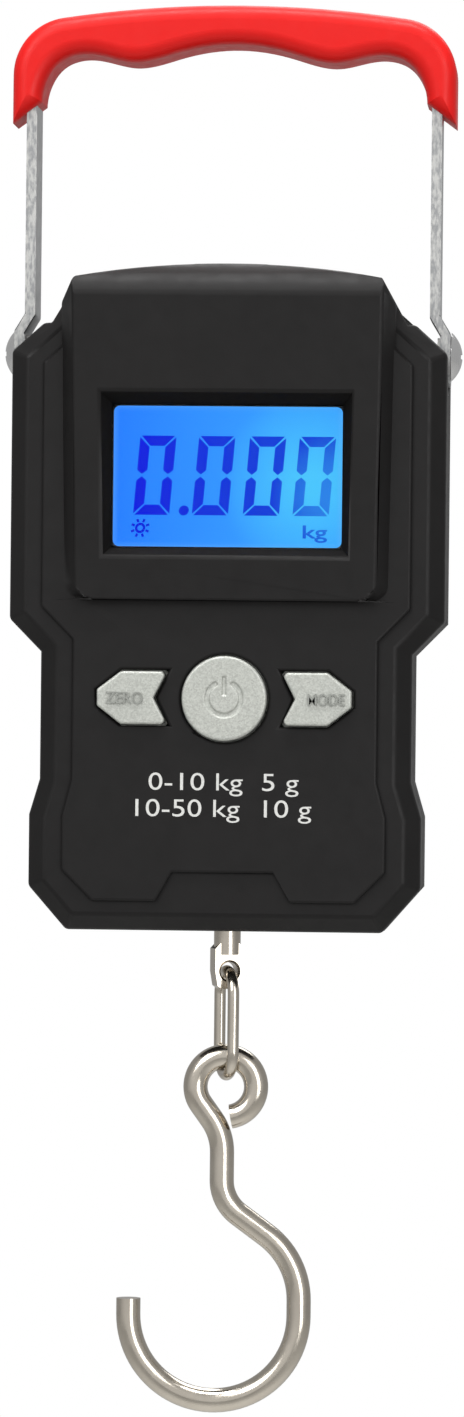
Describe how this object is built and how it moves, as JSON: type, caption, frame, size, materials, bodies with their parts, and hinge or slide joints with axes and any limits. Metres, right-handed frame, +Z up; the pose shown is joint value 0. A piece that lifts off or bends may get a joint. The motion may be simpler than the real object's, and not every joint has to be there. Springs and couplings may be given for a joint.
{
  "type": "digital hanging scale",
  "caption": "Hand-held hanging scale: red grip on a steel strap, black case with a lit display and push keys, chain link and steel hook.",
  "frame": {"origin": "middle of the grip, where a hand holds the scale", "axes": "+Z up along the load line, +X to the right of somebody reading the display, the display faces -Y"},
  "size_m": [0.0754, 0.0323, 0.2311],
  "materials": {
    "case_plastic": "fine-textured black ABS",
    "grip_plastic": "satin red moulded plastic",
    "key_plastic": "silver-painted plastic",
    "clear_window": "clear",
    "lcd_glass": "blue backlit liquid crystal",
    "light_guide": "translucent",
    "white_plastic": "plain",
    "connector_rubber": "banded elastomer",
    "board_laminate": "solder-masked laminate",
    "component_black": "moulded",
    "plated_steel": "zinc plated",
    "nickel_steel": "nickel plated",
    "strap_steel": "galvanised strip",
    "cell_aluminium": "machined",
    "gauge_foil": "copper-nickel foil on film",
    "lead_sheath": "stranded, insulated",
    "battery_can": "plain printed sleeve"
  },
  "bodies": {
    "handle": {"handle_strap": "strap_steel", "handle_grip": "grip_plastic"},
    "housing": {"front_housing": "case_plastic", "rear_housing": "case_plastic", "display_lens": "clear_window", "lcd_panel": "lcd_glass", "lcd_frame": "white_plastic", "backlight": "light_guide", "zebra_strip": "connector_rubber", "circuit_board": "board_laminate", "board_components": "component_black", "board_screws": "plated_steel", "tact_switches": "component_black", "crossbar": "plated_steel", "load_cell": "cell_aluminium", "strain_gauges": "gauge_foil", "gauge_leads": "lead_sheath", "load_cell_bolt": "plated_steel", "rod_nut": "plated_steel", "hanger_rod": "nickel_steel", "pivot_screws": "nickel_steel", "pivot_bushes": "white_plastic", "batteries": "battery_can", "contact_plates": "plated_steel", "contact_springs": "plated_steel", "battery_leads": "lead_sheath", "case_screws": "plated_steel"},
    "door": {"battery_door": "case_plastic"},
    "left_button": {"left_key": "key_plastic", "left_key_plunger": "component_black"},
    "power_button": {"power_key": "key_plastic", "power_key_plunger": "component_black"},
    "right_button": {"right_key": "key_plastic", "right_key_plunger": "component_black"},
    "link": {"link": "nickel_steel"},
    "hook": {"hook": "nickel_steel"}
  },
  "joints": [
    {"name": "case_rock", "type": "hinge", "parent": "handle", "child": "housing", "pos_m": [0, 0, -0.0539], "axis": [1, 0, 0], "range_deg": [-20, 20]},
    {"name": "door_slide", "type": "slide", "parent": "housing", "child": "door", "axis": [0, 0, -1], "range_m": [0, 0.052]},
    {"name": "left_key_press", "type": "slide", "parent": "housing", "child": "left_button", "axis": [0, 1, 0], "range_m": [0, 0.0005], "stiffness_N_per_m": 1200},
    {"name": "power_key_press", "type": "slide", "parent": "housing", "child": "power_button", "axis": [0, 1, 0], "range_m": [0, 0.0005], "stiffness_N_per_m": 1200},
    {"name": "right_key_press", "type": "slide", "parent": "housing", "child": "right_button", "axis": [0, 1, 0], "range_m": [0, 0.0005], "stiffness_N_per_m": 1200},
    {"name": "link_swing", "type": "hinge", "parent": "housing", "child": "link", "pos_m": [0, 0, -0.1552], "axis": [0.342, -0.9397, 0], "range_deg": [-60, 60]},
    {"name": "hook_swing", "type": "hinge", "parent": "link", "child": "hook", "pos_m": [0, 0, -0.16925], "axis": [-1, 0, 0], "range_deg": [-60, 60]}
  ]
}
